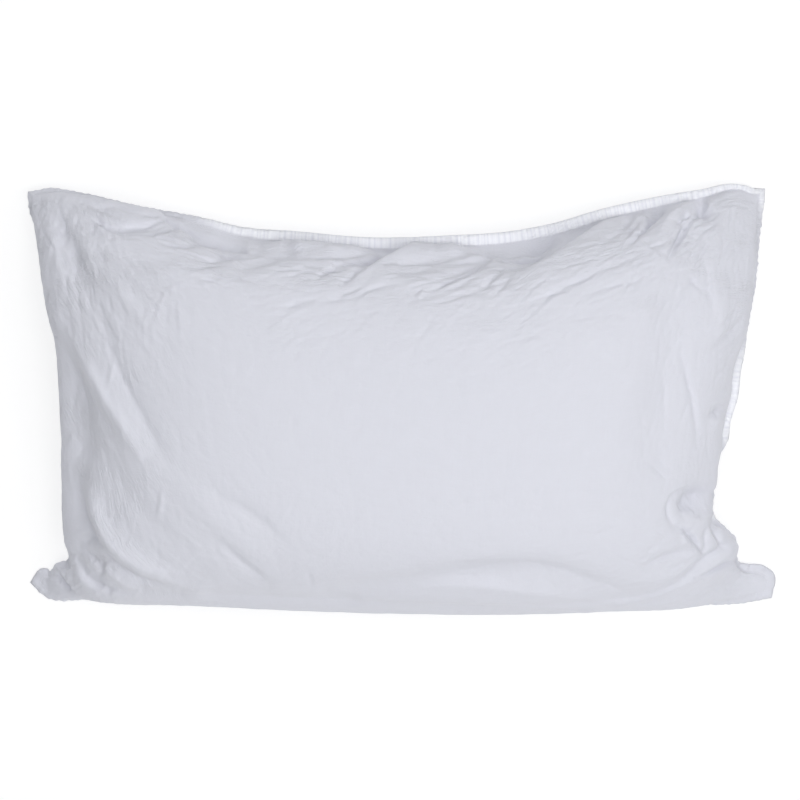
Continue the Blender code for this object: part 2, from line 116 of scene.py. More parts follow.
# The finer creases. Their lines are as the photograph's camera sees them, in millimetres to the
# right of the middle of its view and up from it.
FINE_CREASES = (
    # rise, width, line, and a lean that isn't the usual one
    # The slack side. The lip of the left swag, its hollow and the lines down from it.
    Fold(1.9, 4, "-250,193 -228,188 -210,180 -195,171 -175,164 -155,158 -142,153", -0.5),
    Fold(-9.5, 6, "-228,183 -216,175 -203,168 -190,160 -175,156 -160,153 -138,151"),
    Fold(-5, 2, "-230,184 -220,175 -208,169 -198,162 -190,157"),
    Fold(-5.5, 3, "-204,161 -190,156 -175,153 -160,151 -145,147"),
    Fold(-5.5, 3.4, "-178,143 -160,140 -145,143 -132,149 -120,153 -108,153"),
    # The second lip and its hollow, and the lines along the band to the big roll.
    Fold(6.5, 4.5, "-164,137 -144,143 -130,150 -115,154 -95,151 -75,152 -55,151 -38,149 -24,148", -0.4),
    Fold(-5.5, 5, "-154,130 -136,136 -118,143 -100,143 -80,144"),
    Fold(-5.5, 2.8, "-84,142 -68,144 -52,145 -38,147 -24,150 -10,154 2,157"),
    Fold(-4, 2.4, "-115,153 -100,150 -85,151 -70,153 -55,151 -38,149"),
    Fold(-10.5, 4.5, "-62,136 -42,138 -25,141 -10,146 3,152 17,158"),
    # The big roll in the middle, and the creases down from it and under it.
    Fold(8.5, 8, "-40,120 -20,131 0,141 20,150 40,154 55,151 72,146", 0.5),
    Fold(-5, 2.6, "-57,115 -48,122 -38,129 -28,137 -20,142"),
    Fold(-5.5, 3.2, "-80,123 -72,128 -64,131 -56,132"),
    Fold(-7, 3, "37,148 55,147 70,149 85,150 100,149 116,148"),
    Fold(-5, 3, "3,134 25,138 45,141 62,144 78,147"),
    Fold(-5.5, 3, "18,136 40,137 60,138 75,140 87,143 96,148"),
    Fold(-5.5, 3.6, "28,108 45,116 60,124 75,130 86,138 94,146"),
    Fold(-4, 2.6, "30,117 47,124 62,130 75,136 87,143"),
    Fold(-2.5, 2.6, "25,102 45,109 62,116 76,123"),
    Fold(-3, 3.2, "-15,126 0,127 16,128 32,130"),
    Fold(-2.5, 2, "14,103 23,112"),
    # Thin lines round it.
    Fold(-2.5, 1.7, "30,143 46,145 62,146 76,147"),
    Fold(-2.5, 1.7, "25,132 42,134 58,135 72,138"),
    Fold(-2, 1.7, "36,112 50,119 66,125 80,132"),
    Fold(-1.9, 1.7, "40,104 56,111 70,117"),
    Fold(-2.5, 1.8, "-20,132 -4,134 12,135"),
    Fold(-2.5, 1.8, "-16,121 0,123 18,124 30,122"),
    Fold(-2, 1.7, "105,130 120,130 134,134"),
    Fold(-2.5, 1.7, "112,137 126,140 140,146"),
    Fold(-2.5, 1.7, "100,144 112,145 124,147"),
    Fold(-2, 1.7, "-60,138 -44,141 -30,143"),
    Fold(-2, 1.7, "-100,138 -86,135 -72,135"),
    Fold(-2, 1.7, "-130,138 -114,134 -98,130"),
    Fold(-1.9, 1.7, "-108,124 -94,128 -82,130"),
    Fold(-1.9, 1.7, "-48,100 -34,108 -18,114 -2,117"),
    Fold(-1.9, 1.7, "-50,128 -38,134 -28,139"),
    # The deep hollow right of the middle: its lines, its lip and the roll under it.
    Fold(-14, 7.5, "90,150 110,151 128,153 141,158 153,163 166,168"),
    Fold(-10.5, 4.5, "135,151 145,156 155,161"),
    Fold(-4.5, 1.8, "105,143 120,144 135,146 148,151 160,157"),
    Fold(-4, 1.8, "112,137 128,139 144,144 156,150"),
    Fold(-5.5, 3, "98,141 115,141 130,143 146,147"),
    Fold(-4, 2.4, "108,140 120,143 133,145 146,150"),
    Fold(-4.5, 2.6, "115,132 130,135 143,140 153,147 162,153"),
    Fold(3, 4, "70,154 90,156 105,156 118,156 130,160 141,165", -0.4),
    Fold(7, 8.5, "122,121 145,131 165,143 185,157 205,170 222,178", 0.45),
    Fold(-8.5, 4, "148,142 162,150 177,160 192,171 206,181 220,186"),
    # Slants and faint creases below.
    Fold(-3.5, 3.6, "80,108 90,116 98,125 105,134"),
    Fold(-2.5, 3, "92,102 103,112 112,123"),
    Fold(-2.5, 3.4, "133,97 150,104 166,112 182,120 202,130 226,137"),
    Fold(-2.5, 3.2, "185,104 205,111 225,117 242,123"),
    Fold(-2.5, 3.2, "36,96 55,101 70,106 84,112"),
    Fold(-2.5, 3.4, "-78,97 -62,101 -48,108 -36,114"),
    Fold(-2, 3.4, "-115,90 -100,96 -82,100"),
    # The pockets by the band and by the corner, and the creases down from them.
    Fold(-12.5, 5, "246,171 253,179 259,187 266,195"),
    Fold(5, 5, "263,171 272,181 283,190 294,196"),
    Fold(-11.5, 6, "299,206 303,198 307,189 308,182"),
    Fold(-7, 3.6, "303,189 295,181 288,173 282,162 277,152 271,142"),
    Fold(-4.5, 3, "293,189 284,182 276,174"),
    # Three ticks and the thin ridge across them.
    Fold(-4, 2.4, "237,187 230,178 224,169"),
    Fold(-4, 2.4, "242,182 234,172 227,163"),
    Fold(-4, 2.8, "247,172 238,162 229,153"),
    Fold(2.5, 2.2, "240,157 251,151 261,142"),
    # The left swag's own lines, the notch over it and the lines under it.
    Fold(-4, 2.4, "-258,185 -245,185 -232,187"),
    Fold(-6, 3, "-233,186 -229,180 -223,173"),
    Fold(-5, 3.4, "-308,181 -294,174 -278,170 -260,170 -245,171 -234,175"),
    Fold(-5, 2.2, "-286,178 -272,174 -256,174 -243,178 -231,183"),
    Fold(-3.5, 1.7, "-280,168 -264,166 -248,166 -234,169 -222,173"),
    Fold(-3, 1.7, "-303,179 -294,172 -282,167 -270,164"),
    Fold(-5, 3.2, "-242,159 -225,155 -210,154 -194,157"),
    Fold(-4, 3.4, "-208,141 -192,138 -178,140 -164,143"),
    Fold(-3, 3.2, "-214,133 -197,131 -178,135"),
    # Two ripples by the left corner.
    Fold(-3, 3.2, "-324,201 -306,194 -290,186 -276,181"),
    Fold(-2.5, 3, "-304,194 -288,193 -274,190 -258,184"),
    # The left end. Upright ridges and hollows down from the slack corner.
    Fold(2.5, 6.5, "-350,194 -347,175 -344,155 -341,138 -335,115 -328,92 -318,68", 0.2),
    Fold(-2.5, 4.2, "-340,192 -336,176 -334,162 -336,148"),
    Fold(-2, 5, "-330,176 -327,160 -323,142 -320,124 -316,108"),
    Fold(1.7, 4.5, "-334,136 -329,116 -322,98"),
    Fold(-2, 6, "-316,132 -307,110 -300,92 -293,74 -286,58"),
    Fold(1.7, 7, "-303,142 -292,128 -280,110 -268,93 -253,78"),
    Fold(-1.3, 5.5, "-282,100 -272,85 -261,69"),
    # A bent thin ridge with two legs.
    Fold(1.1, 2.4, "-249,67 -243,80 -240,94 -234,108 -224,114 -210,119"),
    Fold(1, 2.4, "-228,110 -222,95 -219,75 -218,56"),
    # The long ridge's edge and the hollows on both sides of it.
    Fold(5, 8, "-326,65 -316,43 -304,20 -291,-2 -279,-21 -269,-38 -258,-58", 0.5),
    Fold(-5, 9, "-340,60 -330,38 -318,15 -305,-8 -292,-28 -281,-47"),
    Fold(-3, 7, "-292,65 -284,40 -276,18 -266,-2 -254,-25 -242,-48 -230,-66"),
    # Short creases on the wall.
    Fold(-1.4, 3.6, "-321,26 -324,7 -327,-13 -323,-29"),
    Fold(-1.4, 3.2, "-323,-27 -331,-37 -338,-47"),
    Fold(-1, 2.8, "-327,-23 -333,-32 -339,-40"),
    Fold(-1, 3.2, "-310,4 -317,-9 -321,-21"),
    Fold(-1.4, 3.2, "-314,-48 -322,-59 -326,-70"),
    # The ridge to the corner, and the ridges and hollows beside it.
    Fold(5.5, 8, "-312,-80 -307,-100 -301,-120 -292,-140 -278,-157 -260,-169 -240,-177", 0.45),
    Fold(-5.5, 6, "-318,-92 -314,-112 -308,-130 -301,-146"),
    Fold(-4, 5.5, "-316,-146 -308,-141 -301,-143"),
    Fold(4, 4.2, "-296,-162 -288,-174 -276,-183 -262,-191", 0.2),
    Fold(-5, 4.2, "-297,-146 -288,-160 -276,-172 -260,-182 -238,-188 -218,-192"),
    # The pinched pocket and the fan at its foot.
    Fold(-4, 4, "-320,-150 -310,-156 -302,-163 -298,-172"),
    Fold(-3, 3, "-296,-157 -297,-168 -299,-178"),
    Fold(1.8, 3, "-314,-160 -307,-166 -301,-173"),
    Fold(3, 4, "-324,-162 -321,-173 -315,-182 -304,-189 -288,-194 -266,-197"),
    Fold(-4, 3.6, "-318,-165 -314,-177 -304,-186 -288,-192 -268,-196"),
    # The corner's tent, the pocket behind it and the tip.
    Fold(6, 3, "-347,-162 -341,-171 -334,-181 -325,-192"),
    Fold(-10, 4.5, "-349,-166 -343,-177 -336,-186 -327,-193"),
    Fold(-5, 5, "-342,-166 -335,-168 -329,-170"),
    Fold(-7.5, 3.6, "-351,-174 -353,-183 -352,-195"),
    Fold(4, 3.5, "-369,-178 -361,-177 -353,-177"),
    # Two diagonals and a thin upright ridge on the face.
    Fold(-3, 5.5, "-179,-142 -168,-155 -155,-168 -142,-177 -129,-185"),
    Fold(-2, 7, "-178,-99 -160,-108 -145,-118 -130,-130 -114,-145"),
    Fold(1.5, 2.4, "-237,-88 -239,-104 -242,-120"),
    # The full side. The valley's floor, the edge of its swell and a tick.
    Fold(-3.5, 8, "20,-173 50,-171 80,-170 110,-168 140,-169 162,-173 190,-183 218,-192 245,-197"),
    Fold(4, 8, "20,-188 50,-186 80,-188 110,-191 150,-196 190,-200 222,-203", 0.2),
    Fold(-1.4, 2.6, "-92,-172 -88,-182 -88,-192"),
    # A faint crease and four ripples.
    Fold(-1, 4, "45,-112 65,-106 85,-103 105,-102"),
    Fold(-1.2, 2.8, "196,-136 207,-133 216,-128"),
    Fold(-1.3, 2.6, "214,-114 224,-117 234,-123 248,-126"),
    Fold(-1.2, 2.6, "220,-108 230,-115 242,-121"),
    Fold(-1.2, 2.6, "250,-130 260,-133 268,-140"),
    # The right end. A soft upright crease and a slant into it.
    Fold(-3, 4, "306,138 311,125 310,111 314,99 316,81"),
    Fold(-2, 3, "289,123 298,113 306,106"),
    # Slants on the wall.
    Fold(-2, 1.8, "316,56 326,63 336,72 345,84"),
    Fold(-1.8, 1.7, "312,49 322,55 334,64 343,74"),
    Fold(-1.6, 1.7, "316,42 328,50 340,60"),
    Fold(-1.5, 1.7, "318,33 330,42 339,53"),
    Fold(-1.4, 1.7, "316,21 326,31 334,40"),
    Fold(-1.4, 1.7, "319,3 327,13 332,24"),
    Fold(-1.5, 1.8, "318,68 330,80 340,92"),
    # Upright creases and a small slant.
    Fold(-3.5, 3.6, "281,48 286,32 290,18 294,5 296,-10 298,-25 299,-47"),
    Fold(-1.4, 3, "264,26 266,0 265,-27"),
    Fold(-1.5, 2.6, "291,1 287,-12 281,-25"),
    # The pocket at the band and its facet, and two ticks.
    Fold(-5.5, 4.5, "311,-16 319,-14 326,-6"),
    Fold(3, 6, "314,-34 317,-25 320,-18"),
    Fold(-1.8, 2.4, "247,-61 257,-71 268,-81"),
    Fold(-1.6, 2.4, "258,-58 267,-70"),
    # The knot at the notch: its ring, pocket, knuckle and facet, then its creases.
    Fold(-4, 4.6, "318,-94 306,-92 292,-92 282,-94 273,-99 269,-108 270,-117 274,-126 282,-135", -0.6),
    Fold(-12.5, 9, "318,-100 307,-100 297,-103 290,-109 286,-116"),
    Fold(2, 6, "292,-118 301,-122 310,-121"),
    Fold(3, 3.6, "301,-116 309,-114 318,-113"),
    Fold(-5.5, 3, "281,-129 288,-134 294,-141 300,-148 305,-154"),
    Fold(3, 3, "284,-138 290,-145 297,-153"),
    Fold(-5, 4.2, "309,-128 309,-141 308,-156"),
    Fold(-6, 3, "313,-119 317,-128 320,-137 325,-148"),
    Fold(-3, 3, "329,-129 334,-135 338,-143"),
    # The flap over the corner, what lies beside it and the thin ridge from it.
    Fold(5, 5, "340,-147 328,-155 316,-165 302,-175 288,-182", -0.4),
    Fold(-5.5, 3.8, "331,-143 320,-152 309,-161 297,-170 284,-180"),
    Fold(-5, 3.2, "337,-162 325,-166 312,-172 296,-179"),
    Fold(3.5, 3.2, "302,-178 282,-186 265,-192 248,-198 228,-202 206,-204"),
    Fold(-3.5, 4.2, "293,-152 277,-156 262,-161 248,-167"),
    Fold(-2, 4, "292,-162 276,-170 260,-177"),
    # The corner itself.
    Fold(2, 2.4, "331,-175 344,-171 358,-170"),
    Fold(-2, 8, "322,-185 336,-183 350,-184"),
    Fold(-2, 3, "350,-173 355,-182 359,-190"),
    Fold(-3, 3, "356,-193 366,-191"),
)


def places_in(text: str) -> Grid:
    """The places that a text of numbers holds, one in a row."""
    return np.array([[float(number) for number in place.split(",")] for place in text.split()])


def run_along(rows: Grid) -> Grid:
    """How far each row's place lies along the line through them, seen from above.

    Args:
        rows: Places in order, with x and y first.

    Returns:
        One length for each row, from 0.
    """
    steps = np.linalg.norm(np.diff(rows[:, :2], axis=0), axis=1)
    return np.concatenate([[0.0], np.cumsum(steps)])


def curve_through(rows: Grid, shares: Grid) -> Grid:
    """A smooth curve through places.

    Args:
        rows: The places, with x and y first.
        shares: Which shares of its length to read, from 0 to 1.

    Returns:
        A row for each share.
    """
    knots = run_along(rows)
    slopes = np.gradient(rows, knots, axis=0)
    fine = np.linspace(0.0, knots[-1], STEPS_PER_POINT * len(rows))
    span = np.clip(np.searchsorted(knots, fine, side="right") - 1, 0, len(rows) - 2)
    length = (knots[span + 1] - knots[span])[:, None]
    t = (fine - knots[span])[:, None] / length
    curve = (
        (2 * t**3 - 3 * t**2 + 1) * rows[span]
        + (t**3 - 2 * t**2 + t) * length * slopes[span]
        + (3 * t**2 - 2 * t**3) * rows[span + 1]
        + (t**3 - t**2) * length * slopes[span + 1]
    )
    run = run_along(curve)
    return np.array([np.interp(shares * run[-1], run, column) for column in curve.T]).T


def eased(grid: Grid, passes: int) -> Grid:
    """A grid whose inner values are drawn towards their neighbours' middle.

    Args:
        grid: Values, [along, across, ...]. Those at its edge stay.
        passes: How many times to do it.

    Returns:
        The eased grid.
    """
    grid = grid.copy()
    for _ in range(passes):
        grid[1:-1, 1:-1] = (grid[2:, 1:-1] + grid[:-2, 1:-1] + grid[1:-1, 2:] + grid[1:-1, :-2]) / 4
    return grid


def stretch_between(full: Grid, slack: Grid, left: Grid, right: Grid) -> Grid:
    """A grid of values that matches four sides and runs smoothly between them.

    Args:
        full: The side at the start of the second axis.
        slack: The side at its end.
        left: The side at the start of the first axis.
        right: The side at its end.

    Returns:
        Values, [along, across, ...].
    """
    u = np.linspace(0, 1, len(full))[:, None, None]
    v = np.linspace(0, 1, len(left))[None, :, None]
    grid = (1 - v) * full[:, None] + v * slack[:, None] + (1 - u) * left[None] + u * right[None]
    grid -= (1 - u) * ((1 - v) * full[0] + v * slack[0]) + u * ((1 - v) * full[-1] + v * slack[-1])
    return grid


def loop_of(grid: Grid) -> Grid:
    """A grid's edge values in order, anticlockwise from its first corner."""
    return np.concatenate([grid[:-1, 0], grid[-1, :-1], grid[:0:-1, -1], grid[0, :0:-1]])


def sides_of(loop: Grid, along: int, across: int) -> tuple[Grid, Grid, Grid, Grid]:
    """The sides of a grid whose edge values are a loop's.

    Args:
        loop: The edge values, as loop_of gives them.
        along: Cells along the grid.
        across: Cells across it.

    Returns:
        The full, slack, left and right sides.
    """
    closed = np.concatenate([loop, loop[:1]])
    corner = along + across
    slack, left = closed[corner : corner + along + 1], closed[corner + along :]
    return closed[: along + 1], slack[::-1], left[::-1], closed[along : corner + 1]


def outward_normals(loop: Grid, sharpest_corner: float) -> Grid:
    """The level normals of a closed line that runs anticlockwise, longer at its corners.

    Args:
        loop: Places, with x and y first.
        sharpest_corner: How far a corner may be drawn out. 4 is not at all.

    Returns:
        One x and y for each place.
    """
    step = np.roll(loop[:, :2], -1, axis=0) - loop[:, :2]
    step /= np.linalg.norm(step, axis=1)[:, None]
    edge_normal = np.stack([step[:, 1], -step[:, 0]], axis=1)
    both = edge_normal + np.roll(edge_normal, 1, axis=0)
    return 2 * both / np.maximum((both**2).sum(1), sharpest_corner)[:, None]


def sampled(grid: Grid, u: Grid, v: Grid) -> Grid:
    """A grid's values at every pair of two shares.

    Args:
        grid: Values on an even grid, [along, across, ...].
        u: Shares along it, from 0 to 1.
        v: Shares across it.

    Returns:
        Values, [len(u), len(v), ...].
    """
    for shares in (u, v):
        cells = len(grid) - 1
        low = np.minimum((shares * cells).astype(int), cells - 1)
        part = (shares * cells - low)[:, None, None]
        grid = ((1 - part) * grid[low] + part * grid[low + 1]).swapaxes(0, 1)
    return grid


def crowded(cells: int, at_start: float, at_end: float, reach: float) -> Grid:
    """Shares from 0 to 1 that lie closer together towards the ends.

    Args:
        cells: How many steps.
        at_start: How much closer they lie at 0 than in the middle, from 0 for no closer.
        at_end: The same at 1.
        reach: The share of the whole that each crowd fills.

    Returns:
        cells + 1 shares.
    """
    fine = np.linspace(0, 1, STEPS_PER_POINT * cells)
    crowd = at_start * np.exp(-((fine / reach) ** 2)) + at_end * np.exp(-(((1 - fine) / reach) ** 2))
    total = np.cumsum(1 + crowd)
    return np.interp(np.linspace(total[0], total[-1], cells + 1), total, fine)


def grid_normals(places: Grid) -> Grid:
    """Unit normals of a grid of places, upward on a face that runs along +X and +Y."""
    normal = np.cross(np.gradient(places, axis=0), np.gradient(places, axis=1))
    return normal / np.linalg.norm(normal, axis=2)[..., None]


def cloth_runs(places: Grid) -> list[Grid]:
    """How far each place of a cloth grid lies from its first side, over the cloth.

    Args:
        places: Places, [along, across, 3].

    Returns:
        The runs along the first axis and along the second.
    """
    runs = []
    for axis in (0, 1):
        steps = np.linalg.norm(np.diff(places, axis=axis), axis=2)
        start = np.zeros_like(steps.take([0], axis=axis))
        runs.append(np.concatenate([start, np.cumsum(steps, axis=axis)], axis=axis))
    return runs


def placed(mesh: bmesh.types.BMesh, name: str) -> bpy.types.Object:
    """Makes an object of a finished mesh.

    Args:
        mesh: The mesh, which is used up.
        name: The object's name.

    Returns:
        The object, at the origin.
    """
    data = bpy.data.meshes.new(name)
    mesh.to_mesh(data)
    mesh.free()
    made = bpy.data.objects.new(name, data)
    bpy.context.scene.collection.objects.link(made)
    return made


@dataclass(frozen=True)
class Pressing:
    """How folds are pressed into the cloth."""

    crispness: float  # 0 for a round back, 1 for a pressed crease
    light_side: Pair = (0.6, -0.8)  # where most light comes from, as the camera sees it
    narrow: float = 6.5  # a fold under this width leans
    usual_lean: float = 0.35
    fade: float = 0.05  # the share of its line over which an end keeps its least rise
    far: float = 3.5  # widths from its line to where it is too weak to count
    tip: float = 0.3  # how round a pressed crease stays, in widths
    steepness: float = 1.5  # how fast it falls beside its line

    def bell(self, apart: Grid) -> Grid:
        """How high a fold stands at distances from its line, as shares of its width and rise."""
        pressed = np.exp(-self.steepness * (np.hypot(apart, self.tip) - self.tip))
        return (1 - self.crispness) * np.exp(-(apart**2)) + self.crispness * pressed

    def lean(self, fold: Fold, ahead: Grid) -> float:
        """How far a fold leans: a narrow one is steeper on the flank that turns away from the light.

        Args:
            fold: The fold.
            ahead: The way from its line's start to its end.

        Returns:
            Its lean, as a Fold holds it.
        """
        if fold.lean is not None:
            return fold.lean
        if fold.width >= self.narrow:
            return 0.0
        light_on_left = np.sign(ahead[0] * self.light_side[1] - ahead[1] * self.light_side[0])
        return -self.usual_lean * light_on_left * np.sign(fold.rise)

    def lift(self, fold: Fold, x: Grid, y: Grid) -> Grid:
        """How far a fold lifts the face, fading at both ends of its line.

        Args:
            fold: The fold.
            x: The places' x.
            y: Their y.

        Returns:
            The lift at each place.
        """
        line = places_in(fold.line)
        low, high = line.min(0) - self.far * fold.width, line.max(0) + self.far * fold.width
        near = (x > low[0]) & (x < high[0]) & (y > low[1]) & (y < high[1])
        fine = np.linspace(0, len(line) - 1, STEPS_PER_POINT * len(line))
        points = np.stack([np.interp(fine, range(len(line)), column) for column in line.T], axis=1)
        heading = np.gradient(points, axis=0)
        offset = np.stack([x[near], y[near]], axis=1)[:, None] - points
        away = np.hypot(offset[..., 0], offset[..., 1])
        closest = away.argmin(1)
        rows = np.arange(len(closest))
        side = np.sign(np.cross(heading[closest], offset[rows, closest]))
        share = closest / (len(points) - 1)
        fading = np.sqrt(np.sin(np.pi * np.clip(share, self.fade, 1 - self.fade)))
        lean = self.lean(fold, line[-1] - line[0])
        width = fold.width * (1 - lean * side * np.sin(np.pi * share))
        lift = np.zeros_like(x)
        lift[near] = fold.rise * fading * self.bell(away[rows, closest] / width)
        return lift


@dataclass(frozen=True)
class Viewpoint:
    """Where the photograph was taken from: over the case, a little towards its slack side."""

    aim: Triple = (-2.2, 0.2, 50.0)
    distance: float = 2500.0
    tilt: float = 8.0  # degrees from straight down

    def backward(self) -> Grid:
        """The direction from the case to the camera."""
        return np.array([0.0, np.sin(np.radians(self.tilt)), np.cos(np.radians(self.tilt))])

    def seen(self, places: Grid) -> tuple[Grid, Grid]:
        """Where places show in the view, in millimetres on the level of the aim.

        Args:
            places: Places, [..., 3].

        Returns:
            How far right of the middle each shows, and how far up from it.
        """
        backward = self.backward()
        upward = np.array([0.0, backward[2], -backward[1]])
        from_aim = places - np.array(self.aim)
        nearer = self.distance / (self.distance - from_aim @ backward)
        return from_aim[..., 0] * nearer, (from_aim @ upward) * nearer


@dataclass
class SeamLine:
    """The closed seam where the two panels meet, and the level surface stretched inside it.

    Each row of the seam or of that surface holds x, y, the height over what the case lies on, how
    far the filled wall rolls out past the seam, and the band: 1 where the sewn edge stands straight
    out and 0 where it hangs down. Each side runs in the direction of +X or +Y, from corner to corner.
    """

    slack_side: str = """
        -371,203,22,3,0 -354,205,24,6,0.1 -321,202,29,7,0 -266,190,37,8,0 -221,181,43,7,0.1
        -195,174,47,3,0.3 -161,165,49,0,0.5 -102,160,50,0,0.8 -30,155,51,0,1 47,157,51,0,1 107,161,50,0,1
        151,169,48,0,1 196,182,45,0,1 256,195,39,0,1 301,202,33,0,1 331,207,29,0,1 342,204.5,27.5,0,0.9
        348,202,26.5,0,0.8 353.5,201.5,26,0,0.7
    """
    full_side: str = """
        -372,-195,5,0,0.7 -364,-203.5,8,0,0.5 -350,-209,16,2,0.1 -330,-207.5,20,4,0 -304,-206,24,7,0
        -226,-201,34,10,0 -119,-203,41,11,0 -2,-206,44,11,0 109,-207,43,11,0 201,-206,38,10,0
        263,-209,30,9,0 309,-212,22,5,0.1 341,-210,16,2,0.3 372,-203,13,0,0.7
    """
    left_side: str = """
        -372,-195,5,0,0.7 -368,-189,8,0,0.5 -361,-188.5,12,0,0.2 -356,-183,18,0,0 -352,-176,25,0,0
        -346,-174,27,0,0 -340,-172,28,1,0 -336.5,-165,30,4,0 -335,-152,32,9,0 -335,-110,40,11,0
        -334,-43,47,10,0 -336,22,48,10,0 -340,78,47,9,0 -348,114,43,8,0 -357,153,37,7,0 -367,183,30,6,0
        -371,196,24,4,0 -371,203,22,3,0
    """
    right_side: str = """
        372,-203,13,0,0.7 374,-190,13,0,0.7 366,-184,15,0,0.6 351,-182,19,0,0.5 340,-175,24,3,0.2
        337,-160,29,8,0 336,-147,33,9,0 323,-135,36,7,0.1 311,-126,38,3,0.4 306,-114,40,2,0.55
        310,-102,43,8,0.1 311,-89,45,8,0 310,-67,47,7,0 318,-49,49,3,0.15 320,-26,51,0,1 328,6,51,0,1
        330,32,50,0,0.8 339,64,48,3,0.15 347,114,45,3,0.15 353,179,34,1,0.2 353.5,192,29,0,0.4
        353.5,201.5,26,0,0.7
    """
    cells_along: int = 120
    cells_across: int = 76
    smoothing_passes: int = 260
    finishing_passes: int = 24
    sharpest_corner: float = 1.6

    def border(self, u: Grid, v: Grid) -> tuple[Grid, Grid, Grid, Grid]:
        """The seam's four sides, drawn in where the sewn edge is wider so that its rim stays.

        Args:
            u: Shares of the full and slack sides' lengths.
            v: Shares of the left and right sides' lengths.

        Returns:
            The full, slack, left and right sides.
        """
        routes = ((self.full_side, u), (self.slack_side, u), (self.left_side, v), (self.right_side, v))
        full, slack, left, right = (curve_through(places_in(side), shares) for side, shares in routes)
        loop = np.concatenate([full[:-1], right[:-1], slack[:0:-1], left[:0:-1]])
        edge = SewnEdge()
        inward = (edge.widths(loop) - edge.width) * np.sin(loop[:, BAND] * np.pi / 2)
        loop[:, :2] -= outward_normals(loop, self.sharpest_corner) * inward[:, None]
        return sides_of(loop, len(u) - 1, len(v) - 1)

    def surface(self, u: Grid, v: Grid) -> tuple[Grid, Grid]:
        """The level surface inside the seam, and how its wall rolls out.

        Args:
            u: Shares along it.
            v: Shares across it.

        Returns:
            Rows like the seam's, and the x and y of the roll, both [along, across, ...].
        """
        even_u, even_v = (np.linspace(0, 1, cells + 1) for cells in (self.cells_along, self.cells_across))
        form = eased(stretch_between(*self.border(even_u, even_v)), self.smoothing_passes)
        loop = loop_of(form)
        rolling = outward_normals(loop, self.sharpest_corner) * loop[:, ROLL : ROLL + 1]
        sides = sides_of(rolling, self.cells_along, self.cells_across)
        rolling = eased(stretch_between(*sides), self.smoothing_passes)
        seam = sampled(form, u, v)
        seam[:, 0], seam[:, -1], seam[0], seam[-1] = self.border(u, v)
        return eased(seam, self.finishing_passes), eased(sampled(rolling, u, v), self.finishing_passes)


@dataclass
class Crinkles:
    """The short washed-in creases, each a few millimetres wide and a little bent.

    A zone holds x, y, its reach, the way its crinkles run and how far that spreads, in degrees from
    +X and either way, how high a crinkle stands there, and how many there are, against 1 on the calm
    middle.
    """

    zones: str = """
        -335,130,60,-75,14,0.7,3 -330,0,60,-72,16,0.7,3 -310,-120,70,60,25,0.5,2.4
        -230,60,90,-58,24,0.4,2.4 -200,-90,90,-48,22,0.4,1.6 -200,160,50,-10,12,1.1,3.2
        -90,130,55,10,16,1.1,3.2 50,130,55,14,12,1.2,3.2 150,120,55,24,12,0.9,3.2 240,165,50,42,16,0.9,2.8
        -60,80,60,18,26,0.5,2.2 80,80,60,26,18,0.6,2.2 310,60,70,75,16,0.5,1.8 290,-60,60,-70,25,0.4,1.8
        280,-150,70,20,25,0.5,2 60,-170,120,4,18,0.35,1.5 0,0,160,80,60,0.2,1
    """
    count: int = 14000
    thickest: float = 3.2  # the number at which none is left out
    half_length: Pair = (7.0, 32.0)
    half_width: Pair = (1.0, 2.1)
    rises: Pair = (0.25, 1.0)  # the shortest one's share of the rise, and the longest one's
    bend: float = 0.008
    sunken_share: float = 0.6
    raised: float = 0.8  # how high a raised one stands, against a sunken one's depth
    cell: float = 1.1  # the least width of a cell of the face
    seed: int = 5

    def blended(self, x: Grid, y: Grid) -> tuple[Grid, Grid, Grid, Grid]:
        """The zones' values at places on the face.

        Args:
            x: The places' x.
            y: Their y.

        Returns:
            The heading and spread in radians, the rise and the number.
        """
        zone_x, zone_y, reach, heading, *rest = places_in(self.zones).T
        weight = np.exp(-((np.hypot(x[..., None] - zone_x, y[..., None] - zone_y) / reach) ** 2)) + 1e-6
        weight /= weight.sum(-1)[..., None]
        twice = 2 * np.radians(heading)
        heading = np.arctan2((weight * np.sin(twice)).sum(-1), (weight * np.cos(twice)).sum(-1)) / 2
        spread, rise, number = (weight @ values for values in rest)
        return heading, np.radians(spread), rise, number

    def rise(self, places: Grid, normals: Grid) -> Grid:
        """How far the crinkles lift each place of the face.

        Args:
            places: Places, [along, across, 3].
            normals: Their unit normals.

        Returns:
            The lift, [along, across].
        """
        rng = np.random.default_rng(self.seed)
        heading, spread, rise, number = self.blended(places[..., 0], places[..., 1])
        lift = np.zeros(places.shape[:2])
        along, across = lift.shape
        (shortest, longest), (thinnest, widest) = self.half_length, self.half_width
        low, high = self.rises
        reach = int((longest + 2 * widest) / self.cell)
        for _ in range(self.count):
            i, j = rng.integers(2, along - 2), rng.integers(2, across - 2)
            chance, size, _, shape, side = rng.uniform(size=5)
            bend = self.bend * rng.normal()
            if chance * self.thickest > number[i, j]:
                continue
            part = (slice(max(i - reach, 0), i + reach + 1), slice(max(j - reach, 0), j + reach + 1))
            angle = heading[i, j] + spread[i, j] * rng.normal()
            normal = normals[i, j]
            ahead = np.array([np.cos(angle), np.sin(angle), 0.0])
            ahead -= normal * (ahead @ normal)
            ahead /= np.linalg.norm(ahead)
            offset = places[part] - places[i, j]
            forward, sideways = offset @ ahead, offset @ np.cross(normal, ahead)
            length = shortest + (longest - shortest) * size**2
            width = thinnest + (widest - thinnest) * shape**2
            height = rise[i, j] * (low + (high - low) * size) * width / widest
            height *= -1.0 if side < self.sunken_share else self.raised
            across_it = (sideways + bend * forward**2) / width
            lift[part] += height * np.exp(-((forward / length) ** 2) - across_it**2)
        return lift


class GatherMode(NamedTuple):
    """One size of the ripples that the stitching draws the cloth into."""

    wavelength: float
    rise: float
    reach: float  # how far over the cloth they run


